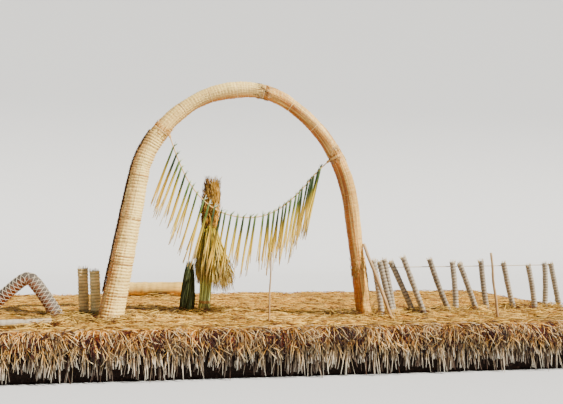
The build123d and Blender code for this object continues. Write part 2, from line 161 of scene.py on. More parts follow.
def ring_quads(index):
    """Faces between neighbouring rings of points, from their numbers by ring and place in it."""
    low, high = index[..., :-1, :], index[..., 1:, :]
    return columns(low, np.roll(low, -1, -1), np.roll(high, -1, -1), high)


def strand_arrays(paths, radii, sides=3, flat=1.0, tones=0.5, reference=up, spin=0.0):
    """Points, faces and attributes of many tubes: paths is (tube, point, 3)."""
    paths = np.asarray(paths, float)
    count, steps = paths.shape[:2]
    radii = np.broadcast_to(radii, (count, steps))
    tones = np.broadcast_to(tones, count)
    spin = np.broadcast_to(spin, count)[:, None, None, None]
    tangent = unit(np.gradient(paths, axis=1))
    side = unit(np.cross(tangent, np.broadcast_to(reference, tangent.shape)) + 1e-9)
    lift = np.cross(side, tangent)
    angle = full_turn * np.arange(sides) / sides
    across, over = np.cos(angle)[:, None], np.sin(angle)[:, None] * flat
    spin_cos, spin_sin = np.cos(spin), np.sin(spin)
    across, over = across * spin_cos - over * spin_sin, across * spin_sin + over * spin_cos
    offset = (side[:, :, None] * across + lift[:, :, None] * over) * radii[:, :, None, None]
    points = paths[:, :, None] + offset
    run = np.cumsum(np.linalg.norm(np.diff(paths, axis=1), axis=2), axis=1)
    run = np.concatenate([np.zeros((count, 1)), run], axis=1)
    shape = (count, steps, sides)
    radii, tones = radii[..., None], tones[:, None, None]
    reed = columns(radii * np.cos(angle) + 3.7 * tones, radii * np.sin(angle), run[..., None])
    index = np.arange(count * steps * sides).reshape(shape)
    fan = np.array([(0, n + 1, n) for n in range(1, sides - 1)])
    caps = np.concatenate([index[:, 0][:, fan], index[:, -1][:, fan[:, [0, 2, 1]]]])
    attributes = {
        "reed": reed.reshape(-1, 3),
        "along": np.broadcast_to(np.linspace(0, 1, steps)[None, :, None], shape).ravel(),
        "tone": np.broadcast_to(tones, shape).ravel(),
    }
    return points.reshape(-1, 3), ring_quads(index).reshape(-1, 4), caps.reshape(-1, 3), attributes


def joined(groups):
    """Several sets of strand arrays as one."""
    points, quads, triangles, attributes = zip(*groups)
    shifts = np.cumsum([0] + [len(places) for places in points])
    quads = np.concatenate([faces + shift for faces, shift in zip(quads, shifts)])
    triangles = np.concatenate([faces + shift for faces, shift in zip(triangles, shifts)])
    merged = {key: np.concatenate([a[key] for a in attributes]) for key in attributes[0]}
    return np.concatenate(points), quads, triangles, merged


def curved_paths(starts, ends, steps, bow=0.0, bow_way=up):
    """Paths from starts to ends, bowed sideways in the middle."""
    share = np.linspace(0, 1, steps)[None, :, None]
    straight = starts[:, None] * (1 - share) + ends[:, None] * share
    side = np.reshape(bow, (-1, 1, 1)) * np.reshape(bow_way, (-1, 1, 3))
    return straight + 4 * share * (1 - share) * side


class Draws:
    """Random numbers, one for each of some strands, the same each time for a seed."""

    def __init__(self, seed, count):
        self.rng = np.random.default_rng(seed)
        self.count = count

    def even(self, low, high):
        return self.rng.uniform(low, high, self.count)

    def bell(self, middle, spread):
        return self.rng.normal(middle, spread, self.count)

    def taper(self, low, high, *widths):
        """Random radii, each changing along its strand."""
        return self.even(low, high)[:, None] * widths


def running_length(points):
    """Distance of each point of a line from its first."""
    return np.concatenate([[0], np.cumsum(np.linalg.norm(np.diff(points, axis=0), axis=1))])


def point_at(place, places, points):
    """Points between those of a line, whose own places along it are given."""
    return columns(*(np.interp(place, places, points[:, n]) for n in range(3)))


# Materials

def colour(red, green, blue):
    """Linear colour from 0 to 255 screen values."""
    values = [c / 255 for c in (red, green, blue)]
    linear = [c / 12.92 if c <= 0.04045 else ((c + 0.055) / 1.055) ** 2.4 for c in values]
    return (*linear, 1.0)


def connect(tree, value, socket):
    """Link an output to the socket, or set a constant on it."""
    if isinstance(value, bpy.types.NodeSocket):
        tree.links.new(value, socket)
    else:
        socket.default_value = value


def add(tree, kind, inputs=None, **settings):
    node = tree.nodes.new("ShaderNode" + kind)
    for key, value in settings.items():
        setattr(node, key, value)
    for key, value in (inputs or {}).items():
        connect(tree, value, node.inputs[key])
    return node


def ramp(tree, factor, stops):
    """Colour ramp: each stop is a place, then red, green and blue from 0 to 255."""
    node = add(tree, "ValToRGB", {0: factor})
    elements = node.color_ramp.elements
    while len(elements) < len(stops):
        elements.new(0.5)
    for element, (place, *value) in zip(elements, stops):
        element.position = place
        element.color = colour(*value)
    return node.outputs[0]


def mixed(tree, factor, first, second):
    node = add(tree, "Mix", data_type="RGBA")
    for number, value in ((0, factor), (6, first), (7, second)):
        connect(tree, value, node.inputs[number])
    return node.outputs[2]


def rescaled(tree, value, low, high, to_low, to_high):
    inputs = {0: value, 1: low, 2: high, 3: to_low, 4: to_high}
    return add(tree, "MapRange", inputs).outputs[0]


def times(tree, first, second):
    return add(tree, "Math", {0: first, 1: second}, operation="MULTIPLY").outputs[0]


def noise(tree, place, scale, output="Fac", **more):
    return add(tree, "TexNoise", {"Vector": place, "Scale": scale, **more}).outputs[output]


def attribute(tree, name, output="Fac"):
    return add(tree, "Attribute", attribute_name=name).outputs[output]


def empty_material(name):
    material = bpy.data.materials.new(name)
    material.use_nodes = True
    material.node_tree.nodes.clear()
    return material, material.node_tree


def matt_shader(tree, shade, relief, bump, depth, rough, specular=0.2):
    """Matt surface of a given shade, with a bump of a given depth from the relief."""
    height = add(tree, "Bump", {"Strength": bump, "Distance": depth, "Height": relief})
    shader = add(tree, "BsdfPrincipled", {
        "Base Color": shade, "Roughness": rough, "Specular IOR Level": specular,
        "Normal": height.outputs[0],
    })
    output = add(tree, "OutputMaterial")
    tree.links.new(shader.outputs[0], output.inputs[0])


def reed_material(name, light, dark, streak=(150, 150, 7), streak_depth=0.25, patch=3,
                  patch_depth=0.2, bump=0.3, rough=0.62, groove=None):
    """Reeds: colours along each one, light and dark kinds, lengthwise streaks and patches, and painted
    shade in the winding grooves when a groove darkness is given.
    """
    material, tree = empty_material(name)
    along, tone = attribute(tree, "along"), attribute(tree, "tone")
    reed = attribute(tree, "reed", "Vector")
    fibre = add(tree, "VectorMath", {0: reed, 1: streak}, operation="MULTIPLY").outputs[0]
    streaks = noise(tree, fibre, 1.0, Detail=5.0, Roughness=0.65)
    patches = noise(tree, add(tree, "NewGeometry").outputs["Position"], patch, Detail=4.0)
    kinds = mixed(tree, tone, ramp(tree, along, light), ramp(tree, along, dark))
    streaked = rescaled(tree, streaks, 0.3, 0.7, 1 - streak_depth, 1 + streak_depth / 2)
    patched = rescaled(tree, patches, 0.35, 0.65, 1 - patch_depth, 1 + patch_depth / 2)
    value = times(tree, streaked, patched)
    # Painted shade: darker in the grooves of the windings, by the groove attribute.
    if groove is not None:
        shaded = rescaled(tree, attribute(tree, "groove"), 0.0, 1.0, 1.0, groove)
        value = times(tree, value, shaded)
    shade = add(tree, "VectorMath", {0: kinds, "Scale": value}, operation="SCALE").outputs[0]
    matt_shader(tree, shade, streaks, bump, 0.004, rough, 0.3)
    return material


def ground_material(name, stops, scale, stretch, bump, edge_shade_stops=()):
    """Matted ground or peat: tangled streaks from stretched noise, with painted shade darker towards an
    edge.
    """
    material, tree = empty_material(name)
    place = add(tree, "NewGeometry").outputs["Position"]
    bent = noise(tree, place, 1.3, "Color", Detail=2.0)
    warp = add(tree, "VectorMath", {0: bent, "Scale": 0.5}, operation="SCALE").outputs[0]
    moved = add(tree, "VectorMath", {0: place, 1: warp}, operation="ADD").outputs[0]
    layers = []
    for way in (stretch, (stretch[1], stretch[0], stretch[2])):
        stretched = add(tree, "VectorMath", {0: moved, 1: way}, operation="MULTIPLY").outputs[0]
        layers.append(noise(tree, stretched, scale, Detail=6.0, Roughness=0.7))
    tangle = add(tree, "Math", {0: layers[0], 1: layers[1]}, operation="MAXIMUM").outputs[0]
    shade = ramp(tree, tangle, stops)
    if edge_shade_stops:
        shade = mixed(tree, attribute(tree, "tone"), shade, ramp(tree, tangle, edge_shade_stops))
    matt_shader(tree, shade, tangle, bump, 0.02, 0.85)
    return material


def rope_material(name, light, dark):
    """Twisted grass rope: slanting strands round the rope."""
    material, tree = empty_material(name)
    twist = add(tree, "TexWave", {
        "Vector": attribute(tree, "reed", "Vector"), "Scale": 38.0, "Distortion": 1.5, "Detail": 2.0,
    }, bands_direction="DIAGONAL").outputs["Fac"]
    shade = mixed(tree, twist, colour(*dark), colour(*light))
    matt_shader(tree, shade, twist, 0.6, 0.003, 0.85)
    return material


def dress(nodes, material):
    """Give the CAD nodes that stay in view a material."""
    for node in nodes:
        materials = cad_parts[node].data.materials
        materials.clear()
        materials.append(material)


# The dark colours of cream and tan serve both the reeds' own browner streaks and the painted shade on
# the arch's side away from the sun.
cream = reed_material(
    "cream_reeds",
    [(0, 255, 230, 146), (1, 255, 223, 130)],
    [(0, 206, 130, 52), (1, 184, 106, 38)],
    streak=(60, 60, 14), streak_depth=0.16, patch=2.2, patch_depth=0.12, bump=0.4, rough=0.5,
    groove=0.74,
)
tan = reed_material(
    "tan_reeds",
    [(0, 254, 216, 122), (1, 250, 204, 104)],
    [(0, 208, 126, 38), (1, 158, 80, 20)],
    streak=(110, 110, 1.6), streak_depth=0.52, patch=2.6, patch_depth=0.26, bump=0.5, rough=0.48,
    groove=0.62,
)
grey = reed_material(
    "grey_rolls",
    [(0, 198, 186, 162), (1, 190, 178, 156)],
    [(0, 150, 138, 118), (1, 140, 128, 108)],
    streak=(170, 170, 12), streak_depth=0.3, patch=5, bump=0.5, rough=0.7, groove=0.3,
)
# Lightened as painted light, so that the thick rolls look sunlit though they stand in the arch's shadow;
# the roll tips share it.
pale_grey = reed_material(
    "pale_rolls",
    [(0, 255, 236, 172), (1, 255, 230, 160)],
    [(0, 226, 190, 122), (1, 214, 172, 104)],
    streak=(170, 170, 12), streak_depth=0.5, patch=5, patch_depth=0.3, bump=0.5, rough=0.7,
    groove=0.36,
)
netted = reed_material(
    "netted_roll",
    [(0, 104, 94, 82), (1, 98, 88, 78)],
    [(0, 186, 98, 30), (1, 160, 80, 22)],
    streak=(120, 120, 6), streak_depth=0.45, patch=4, patch_depth=0.3, bump=0.6, rough=0.75,
    groove=0.3,
)
gold = reed_material(
    "gold_straw",
    [(0, 242, 192, 80), (1, 250, 212, 112)],
    [(0, 48, 19, 4), (1, 112, 56, 10)],
    streak_depth=0.2, patch=0.9, patch_depth=0.3,
)
# The dark colours of the hanging ends are painted shade between and behind them.
butt = reed_material(
    "hanging_butts",
    [(0, 196, 100, 30), (0.35, 252, 208, 140), (1, 255, 250, 232)],
    [(0, 26, 8, 6), (0.5, 44, 18, 11), (1, 96, 60, 40)],
    patch=1.6, patch_depth=0.3,
)
brow = reed_material(
    "brow_straw",
    [(0, 238, 156, 44), (0.5, 250, 190, 92), (1, 255, 234, 190)],
    [(0, 128, 40, 6), (0.5, 58, 11, 4), (1, 20, 4, 4)],
    patch=1.1, patch_depth=0.4,
)
green_hung = reed_material(
    "hung_reeds",
    [(0, 226, 236, 214), (0.22, 122, 140, 70), (0.5, 70, 96, 36),
     (0.66, 214, 184, 46), (0.84, 240, 206, 92), (1, 246, 230, 170)],
    [(0, 110, 130, 96), (0.2, 22, 38, 18), (0.56, 26, 44, 16),
     (0.7, 156, 122, 22), (0.86, 220, 178, 60), (1, 232, 206, 130)],
    streak_depth=0.2, patch_depth=0.15,
)
sheaf_leaf = reed_material(
    "sheaf_leaves",
    [(0, 214, 186, 44), (0.6, 244, 208, 76), (1, 254, 236, 156)],
    [(0, 34, 40, 10), (0.6, 62, 60, 12), (1, 128, 106, 34)],
)
sheaf_stalk = reed_material(
    "sheaf_stalks",
    [(0, 255, 232, 120), (0.3, 226, 246, 150), (1, 224, 206, 50)],
    [(0, 90, 62, 18), (0.3, 26, 44, 8), (1, 40, 46, 8)],
)
# Its own dark green, darkened further as painted shade.
dark_green = reed_material(
    "dark_green_reeds",
    [(0, 84, 92, 48), (1, 98, 106, 48)],
    [(0, 24, 30, 16), (1, 36, 46, 20)],
    streak_depth=0.3,
)
plume = reed_material(
    "seed_heads",
    [(0, 206, 140, 30), (0.6, 240, 184, 60), (1, 252, 218, 130)],
    [(0, 52, 30, 10), (0.6, 92, 52, 16), (1, 150, 96, 38)],
    streak=(240, 240, 40), streak_depth=0.35, patch=4, patch_depth=0.3, rough=0.85,
)
wood = reed_material(
    "bare_poles",
    [(0, 202, 162, 104), (1, 214, 186, 142)],
    [(0, 140, 102, 62), (1, 150, 122, 88)],
    streak=(220, 220, 6), streak_depth=0.4, patch=4, patch_depth=0.25, bump=0.5, rough=0.75,
)
rope = rope_material("grass_rope", (214, 172, 104), (132, 92, 48))
net_rope = rope_material("net_rope", (226, 214, 190), (160, 146, 122))
# The seam rope's darkness is partly the rope's own colour and partly painted shade between the wraps.
dark_rope = rope_material("seam_rope", (104, 66, 30), (44, 24, 10))
tie_rope = rope_material("tie_rope", (222, 170, 96), (150, 98, 44))
pale_rope = rope_material("winding_rope", (252, 226, 166), (214, 170, 102))
# Nearly black as painted shade: the raft's lower reed layers lie in the shade behind the hanging ends.
dark_straw = ground_material(
    "matted_reeds",
    [(0.42, 10, 6, 4), (0.58, 30, 16, 9), (0.74, 74, 44, 24)],
    scale=9, stretch=(1, 7, 7), bump=0.8,
)
# The edge colours are painted shade on the rounded edge behind the hanging ends.
matted_gold = ground_material(
    "matted_straw",
    [(0.47, 34, 14, 3), (0.55, 196, 130, 34), (0.65, 250, 206, 84)],
    scale=9, stretch=(3, 1, 9), bump=1.0,
    edge_shade_stops=[(0.46, 12, 4, 3), (0.56, 84, 20, 5), (0.68, 206, 84, 16)],
)
peat = ground_material(
    "root_peat",
    [(0.4, 20, 13, 8), (0.56, 52, 34, 20), (0.75, 96, 70, 44)],
    scale=7, stretch=(3, 3, 1), bump=1.0,
)


# Camera and garland rope

picture_width = 563
focal_pixels = 604
eye_place = (-1.339, -12.44, 3.194)
eye_rise = 3.59
eye_turn = -7.6
camera_data = bpy.data.cameras.new("camera")
camera_data.sensor_width = 36
camera_data.lens = 36 * focal_pixels / picture_width
camera_data.clip_end = 200
camera = linked("camera", camera_data)
camera.location = eye_place
camera.rotation_euler = (math.radians(90 + eye_rise), 0, math.radians(eye_turn))
bpy.context.scene.camera = camera


def rope_curve(name, bevel):
    """The garland rope's line as a smooth curve through its own route."""
    route = [rope_start]
    route += [tuple(arch_middle + np.array([x, 0, height])) for x, height in rope_route]
    route.append(rope_end)
    data = bpy.data.curves.new(name, "CURVE")
    data.dimensions = "3D"
    spline = data.splines.new("NURBS")
    spline.points.add(len(route) - 1)
    for point, place in zip(spline.points, route):
        point.co = (*place, 1.0)
    spline.order_u = 3
    spline.use_endpoint_u = True
    spline.resolution_u = 10
    data.bevel_depth = bevel
    data.bevel_resolution = 3
    data.use_fill_caps = bevel > 0
    return linked(name, data)


def rope_line():
    """Points along the garland rope, read from its own spline."""
    bare = rope_curve("rope_line", 0.0)
    bpy.context.view_layer.update()
    mesh = bpy.data.meshes.new_from_object(bare)
    points = np.array([vertex.co for vertex in mesh.vertices])
    bpy.data.objects.remove(bare)
    bpy.data.meshes.remove(mesh)
    return points


rope_points = rope_line()
rope_runs = running_length(rope_points)


def rope_at(share):
    """Point of the garland rope at a share of its length."""
    return point_at(np.asarray(share) * rope_runs[-1], rope_runs, rope_points)


# Hung reeds

reeds_each = 6
fold_reach = 0.012
# bunches, their shares of the rope, slants in degrees, lengths, seed
hung_groups = {
    "garland_reeds_left": (10, 0.05, 0.35, (21, 14), (1.15, 1.4), 11),
    "garland_reeds_middle": (10, 0.384, 0.632, (12.5, 7), (1.25, 1.08), 12),
    "garland_reeds_right": (13, 0.658, 0.962, (7, 12), (1.18, 1.42), 13),
}


def hung_reeds(node, count, first, last, slants, lengths, seed):
    """Bunches of reeds folded over the rope: green at the fold, yellow, then pale and split."""
    bunch = np.repeat(np.arange(count), reeds_each)
    draw = Draws(seed, len(bunch))
    rng = draw.rng
    middle = rope_at(np.linspace(first, last, count) + rng.uniform(-0.006, 0.006, count))[bunch]
    slant = np.radians(np.linspace(*slants, count) + rng.uniform(-1.6, 1.6, count))[bunch]
    slant = slant + np.radians(draw.bell(0, 0.9))
    length = (np.linspace(*lengths, count) * rng.uniform(0.84, 1.04, count))[bunch]
    length = length * draw.even(0.72, 1.0)
    lean, across = columns(np.sin(slant), 0, np.cos(slant)), columns(np.cos(slant), 0, -np.sin(slant))
    shift = draw.even(-0.011, 0.011)[:, None] * across
    depth = draw.even(0.002, 0.01)[:, None] * along_y
    front = middle + shift - along_y * fold_reach - depth
    top = middle + shift + lean * 0.015
    hook_way = unit(lean + across * draw.bell(0.5, 0.35)[:, None])
    hook = hook_way * draw.even(0.03, 0.1)[:, None]
    behind = top + along_y * fold_reach
    tail = draw.bell(0, 0.028)[:, None] * across
    tail = tail - draw.even(0, 0.03)[:, None] * along_y
    rows = [behind + hook, behind + hook * 0.3, top, front - lean * 0.008]
    for share in (0.18, 0.4, 0.62, 0.82, 1.0):
        rows.append(front - lean * length[:, None] * share + tail * share**2)
    paths = np.stack(rows, axis=1)
    radii = draw.taper(0.007, 0.013, 0.3, 0.6, 0.9, 1.0, 1.1, 1.1, 1.0, 0.85, 0.45)
    tones = np.clip(draw.even(0.15, 1) + rng.normal(0, 0.25, count)[bunch], 0, 1)
    blades = strand_arrays(paths, radii, 4, 0.35, tones, along_y)
    mesh_piece("hung_" + node, *blades, green_hung, "reed_green", (node,))


for node, values in hung_groups.items():
    hung_reeds(node, *values)

garland = rope_curve("garland_line", rope_diameter / 2)
garland.data.materials.append(pale_rope)
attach(garland, "root")
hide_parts("garland_rope")


# Arch

row_step = 0.0104
around = 124
# Way that the painted shade on the arch bundles faces: left, front and down.
shaded_way = (-0.86, -0.3, -0.45)


def arch_line(distance):
    """Points on the arch's centreline and the way along it, at distances from the left foot."""
    distance = np.asarray(distance, float)
    heading = np.full(distance.shape, left_lean)
    run = np.minimum(distance, left_straight)
    x = left_foot_x + run * np.sin(heading)
    z = run * np.cos(heading)
    left = distance - run
    for turn, radius in arch_bends:
        angle = np.minimum(math.radians(turn), left / radius)
        x = x + radius * (np.cos(heading) - np.cos(heading + angle))
        z = z + radius * (np.sin(heading + angle) - np.sin(heading))
        heading = heading + angle
        left = left - radius * angle
    x = x + left * np.sin(heading)
    z = z + left * np.cos(heading)
    return arch_middle + columns(x, 0, z), columns(np.sin(heading), 0, np.cos(heading))


def bundle_radius(girths, distance):
    """Radius of an arch bundle, drawn in at its ties."""
    places, widths = zip(*girths)
    radius = np.interp(distance, places, widths) / 2
    neck = sum(np.exp(-((distance - tie) / tie_reach) ** 2) for tie in all_ties)
    return radius - tie_sink * np.minimum(neck, 1)


def arch_ring(distance, theta):
    """Centre of the arch at some distances, the way out from it at an angle, the way along it."""
    centre, along = arch_line(distance)
    inner = np.cross(along_y, along)
    ring = inner * np.cos(theta)[..., None] + along_y * np.sin(theta)[..., None]
    return centre, ring, along


def surface_places(girths, distance, theta, lift):
    """Points over the arch's surface at distances along it and angles round it."""
    centre, ring, _ = arch_ring(distance, theta)
    return centre + ring * (bundle_radius(girths, distance) + lift)[..., None]


def winding_turns(distance, pitch, seed):
    """Turns of the close rope winding up to a distance, slightly uneven."""
    slow = 0.35 * smooth_noise(seed, 0.9, distance)
    fast = 0.1 * smooth_noise(seed + 1, 0.2, distance)
    return distance / pitch + (slow + fast)


def arch_relief(distance, theta, pitch, depth, seed):
    """Height of the surface over the bundle's radius, and how deep in a winding's groove it is."""
    turns = winding_turns(distance, pitch, seed) - theta / full_turn
    off = np.abs((turns + 0.5) % 1 - 0.5) * pitch
    groove = np.exp(-(off / 0.0085) ** 2)
    belly = np.sin(np.clip(off / (pitch / 2), 0, 1) * math.pi / 2)
    round_it = np.cos(theta) * 0.15, np.sin(theta) * 0.15
    bead = smooth_noise(seed + 7, 0.05, *round_it, turns // 1 * 0.7)
    ribs = 0.0
    rng = np.random.default_rng(seed)
    for _ in range(9):
        count = rng.integers(15, 40)
        drift = rng.normal(0, 1.2)
        ribs = ribs + np.cos(count * theta + drift * distance * 2 + rng.uniform(0, 6.28))
    lumps = smooth_noise(seed + 5, 0.35, *round_it, distance)
    tufts = smooth_noise(seed + 6, 0.045, *round_it, distance)
    bellies = depth * (belly * (1 + 0.35 * bead) - 0.8)
    return bellies + 0.0009 * ribs + 0.004 * lumps + 0.002 * tufts, groove


def arch_bundle(name, node, first, last, girths, depth, look, seed):
    """One bundle of the arch: reeds, the waist of each winding, and painted shade that makes it browner
    on the side away from the sun and underneath.
    """
    pitch, _, material, slot = look
    streakiness = 0.25 if material is cream else 0.75
    theta = np.linspace(0, full_turn, around, endpoint=False)
    first = np.broadcast_to(first, theta.shape)
    rows = max(2, round(float(np.max(last - first)) / row_step))
    distance = lerp(first, last, np.linspace(0, 1, rows)[:, None])
    angle = np.broadcast_to(theta, distance.shape)
    height, groove = arch_relief(distance, angle, pitch, depth, seed)
    # Painted shade in the winding's groove, weaker where the winding is shallow.
    groove = groove * (0.4 + 0.6 * np.clip(depth / 0.011, 0, 1))
    radius = bundle_radius(girths, distance) + height
    centre, ring, _ = arch_ring(distance, angle)
    points = centre + ring * radius[..., None]
    mean = radius.mean()
    reed = columns(np.cos(angle) * mean, np.sin(angle) * mean, distance)
    index = np.arange(rows * around).reshape(rows, around)
    hubs = points[[0, -1]].mean(axis=1)
    hub = rows * around
    start, end = index[0], index[-1]
    caps = columns(hub, np.roll(start, -1), start), columns(hub + 1, end, np.roll(end, -1))
    drawn = smooth_noise(seed + 9, 0.02, reed[..., 0], reed[..., 1], reed[..., 2] / 40)
    # Painted shade: browner on the side facing away from the sun and on the underside of the bundle.
    painted_shade = np.clip(ring @ unit(np.array(shaded_way)), 0, 1) ** 1.4
    painted_shade = np.maximum(painted_shade, 0.95 * np.clip(-ring[..., 2], 0, 1) ** 2.2)
    tone = streakiness * (0.5 + 0.5 * drawn) + painted_shade * (0.85 + 0.25 * drawn)
    attributes = {
        "reed": np.append(reed, np.zeros((2, 3))),
        "groove": np.append(groove, [0.6, 0.6]),
        "tone": np.append(np.clip(tone, 0, 1), [0.9, 0.9]),
        "along": np.full(rows * around + 2, 0.5),
    }
    points = np.append(points, hubs)
    triangles = np.concatenate(caps)
    mesh_piece(name, points, ring_quads(index), triangles, attributes, material, slot, (node,))


def winding(name, first, last, girths, depth, look, seed):
    """The rope wound closely round one bundle, as one long strand in its grooves."""
    pitch, thickness = look[:2]
    points_each_turn = 38
    samples = np.linspace(first, last, 4000)
    turns = winding_turns(samples, pitch, seed)
    count = int((turns[-1] - turns[0]) * points_each_turn)
    turn = np.linspace(turns[0], turns[-1], count)
    distance = np.interp(turn, turns, samples)
    theta = (turn * full_turn) % full_turn
    height, _ = arch_relief(distance, theta, pitch, depth, seed)
    radius = bundle_radius(girths, distance) + height + thickness * 0.3
    centre, ring, along = arch_ring(distance, theta)
    path = centre + ring * radius[:, None]
    arrays = strand_arrays(path[None], thickness, 3, reference=along[None])
    mesh_piece(name, *arrays, pale_rope, "rope")


# pitch and thickness of the winding, material and slot of the reeds
left_look = (0.052, 0.0034, cream, "reed_cream")
right_look = (0.078, 0.0016, tan, "reed_tan")
lap_end = lap_middle + lap_reach
# piece, node, start and end along the arch, girths, depth of the winding's grooves
arch_pieces = (
    ("arch_leg_left", "arch_left_leg", -buried, shoulder_joint, left_leg_girth, 0.011, left_look),
    ("arch_crown_left", "arch_left_crown", shoulder_joint, crown_joint, left_crown_girth, 0.0045,
     left_look),
    ("arch_crown_right", "arch_right_crown", crown_joint, haunch_joint, right_crown_girth, 0.003,
     right_look),
    ("arch_leg_right", "arch_right_leg", haunch_joint, lap_end, right_leg_girth, 0.003, right_look),
)
for tens, (name, node, first, last, *looks) in enumerate(arch_pieces, 2):
    arch_bundle(name, node, first, last, *looks, 10 * tens)
    winding("winding_" + name, max(first, 0) + 0.01, last - 0.01, *looks, 10 * tens)

foot_start = lap_middle + lap_reach * np.cos(np.linspace(0, full_turn, around, endpoint=False))
foot_girth = tuple((place, girth + 0.022) for place, girth in right_leg_girth)
arch_bundle("arch_foot_right", "arch_right_foot", foot_start, right_end + buried, foot_girth, 0.003,
            right_look, 70)


def seam_stitches(name, first, last, girths, outer_angle):
    """Dark rope that links the windings in a zigzag up the outer side, its darkness partly painted shade
    between the wraps.
    """
    stitches = round((last - first) / left_look[0])
    count = stitches * 4 + 1
    rng = np.random.default_rng(81)
    swing, lift, swell = (np.tile(four, stitches + 1)[:count] for four in (
        (0.0, 0.15, 0.0, -0.15), (0.016, -0.004, 0.016, -0.004), (1.25, 0.7, 1.25, 0.7)
    ))
    theta = outer_angle + swing + rng.normal(0, 0.03, count)
    lift = lift + rng.uniform(-0.003, 0.003, count)
    path = surface_places(girths, np.linspace(first, last, count), theta, lift)
    arrays = strand_arrays(path[None], 0.0145 * swell[None], 5, reference=along_y)
    mesh_piece(name, *arrays, dark_rope, "rope")


def joint_tufts(name, place, girths, count, spread, material, seed):
    """Short loose reed ends that stick up where two bundles are bound together."""
    draw = Draws(seed, count)
    theta = draw.even(0, full_turn)
    start = place + draw.bell(0, spread)
    length = draw.even(0.04, 0.12) * draw.rng.choice([-1, 1], count)
    low = surface_places(girths, start, theta, -0.006)
    turned = theta + draw.bell(0, 0.06)
    high = surface_places(girths, start + length, turned, draw.even(0.0, 0.016))
    radii = draw.taper(0.003, 0.006, 1, 1, 0.6)
    tones = draw.even(0, 1)
    arrays = strand_arrays(curved_paths(low, high, 3), radii, 3, 0.7, tones, along_y)
    mesh_piece(name, *arrays, material, "reed_tan")


seam_stitches("seam_left_leg", 0.45, 3.3, left_leg_girth, math.pi + 0.22)
joint_tufts("tufts_shoulder", 3.42, left_leg_girth, 160, 0.035, tan, 82)
joint_tufts("tufts_crown", 5.5, left_crown_girth, 260, 0.05, brow, 83)
joint_tufts("tufts_haunch", 7.28, right_leg_girth, 180, 0.045, brow, 84)
joint_tufts("tufts_lap", 9.42, foot_girth, 160, 0.09, tan, 85)


def tie_coils(name, node, places, girths, turns, thickness, material):
    """Turns of rope round the arch at each tie."""
    groups = []
    for place, girth in zip(places, girths):
        rng = np.random.default_rng(500 + int(place * 100))
        share = np.linspace(0, 1, turns * 56)
        theta = share * turns * full_turn + rng.uniform(0, 6)
        distance = place + (share - 0.5) * (turns - 1) * thickness * 2.1
        radius = bundle_radius(girth, np.full(share.shape, place)) + thickness * 0.8
        centre, ring, along = arch_ring(distance, theta)
        path = centre + ring * radius[:, None]
        groups.append(strand_arrays(path[None], thickness, 5, reference=along[None]))
    mesh_piece(name, *joined(groups), material, "rope", (node,))


crown_girths = [left_leg_girth] + [left_crown_girth] * 4 + [right_crown_girth] * 2
right_girths = [right_leg_girth] * 3 + [foot_girth] * 2
left_girths = [left_leg_girth] * 5
tie_coils("coils_left_leg", "ties_left_leg", left_leg_ties, left_girths, 3, 0.0048, rope)
tie_coils("coils_crown", "ties_crown", crown_ties, crown_girths, 2, 0.0042, pale_rope)
tie_coils("coils_right_leg", "ties_right_leg", right_leg_ties, right_girths, 2, 0.004, tie_rope)
dress(["garland_ties"], pale_rope)


# Raft edge

class Edge:
    """One side of the raft: local places (along, outwards, height) become points."""

    def __init__(self, corner, along, outwards, length):
        self.corner = np.array([*corner, 0.0])
        self.along = np.array([*along, 0.0])
        self.outwards = np.array([*outwards, 0.0])
        self.length = length

    def place(self, along, outwards, height):
        local = along[..., None] * self.along + outwards[..., None] * self.outwards
        return self.corner + local + height[..., None] * up


edges = {
    "front": Edge((-half_length, -half_width), (1, 0), (0, -1), 2 * half_length),
    "back": Edge((half_length, half_width), (-1, 0), (0, 1), 2 * half_length),
    "right": Edge((half_length, -half_width), (0, 1), (1, 0), 2 * half_width),
    "left": Edge((-half_length, half_width), (0, -1), (-1, 0), 2 * half_width),
}


def corner_pull(edge, along):
    """How far the cut corner draws an edge inwards."""
    to_end = np.minimum(along, edge.length - along)
    return np.clip(corner_cut - to_end, 0, corner_cut)


def hanging_butts(name, edge, node, density, seed):
    """Cut reed ends that hang down to the water in ragged tufts, several rows deep, the dark ones
    standing for painted shade, more of them further back.
    """
    draw = Draws(seed, int(edge.length * density))
    along = draw.even(0.02, edge.length - 0.02)
    clump = smooth_noise(seed, 0.9, along)
    fine = smooth_noise(seed + 1, 0.16, along)
    along = np.clip(along + 0.035 * fine, 0.02, edge.length - 0.02)
    pull = corner_pull(edge, along)
    depth = draw.even(0, 1)
    out = -0.01 - 0.15 * depth - pull
    top = draw.even(1.42, 1.74)
    reach = np.where(draw.even(0, 1) < 0.38 - 0.3 * clump - 0.25 * fine, 0.0, 0.22)
    low = 1.13 + reach - 0.06 * clump + draw.rng.exponential(0.08, draw.count)
    low = np.clip(low, 1.02, top - 0.12)
    lean = draw.bell(0, 0.12) + 0.06 * clump
    height = top - low
    start = edge.place(along, out - 0.03, top)
    low_along = np.clip(along + lean * height, 0.0, edge.length)
    end = edge.place(low_along, out + draw.bell(0.02, 0.025), low)
    paths = curved_paths(start, end, 4, draw.bell(0.014, 0.016), edge.outwards)
    radii = draw.taper(0.0035, 0.0085, 0.9, 1.0, 1.05, 0.8)
    # Painted shade: dark ends, more and darker further back from the front row.
    pale = draw.even(0, 1) > 0.3 + 0.5 * depth
    tones = np.where(pale, draw.even(0, 0.18) + 0.35 * depth, draw.even(0.7, 1.0))
    arrays = strand_arrays(paths, radii, 3, 0.8, tones, edge.along, draw.even(0, 3))
    mesh_piece(name, *arrays, butt, "reed_fringe", (node,))


def edge_profile(travel):
    """Outward place and height along the deck's rounded edge; travel is 0 where it starts to fall."""
    angle = np.clip(travel / edge_round, 0, math.pi / 2)
    beyond = np.maximum(travel - edge_round * math.pi / 2, 0)
    out = -edge_round + np.minimum(travel, 0) + edge_round * np.sin(angle)
    height = deck_top - mat_drop - edge_round * (1 - np.cos(angle)) - beyond
    return out, height, angle


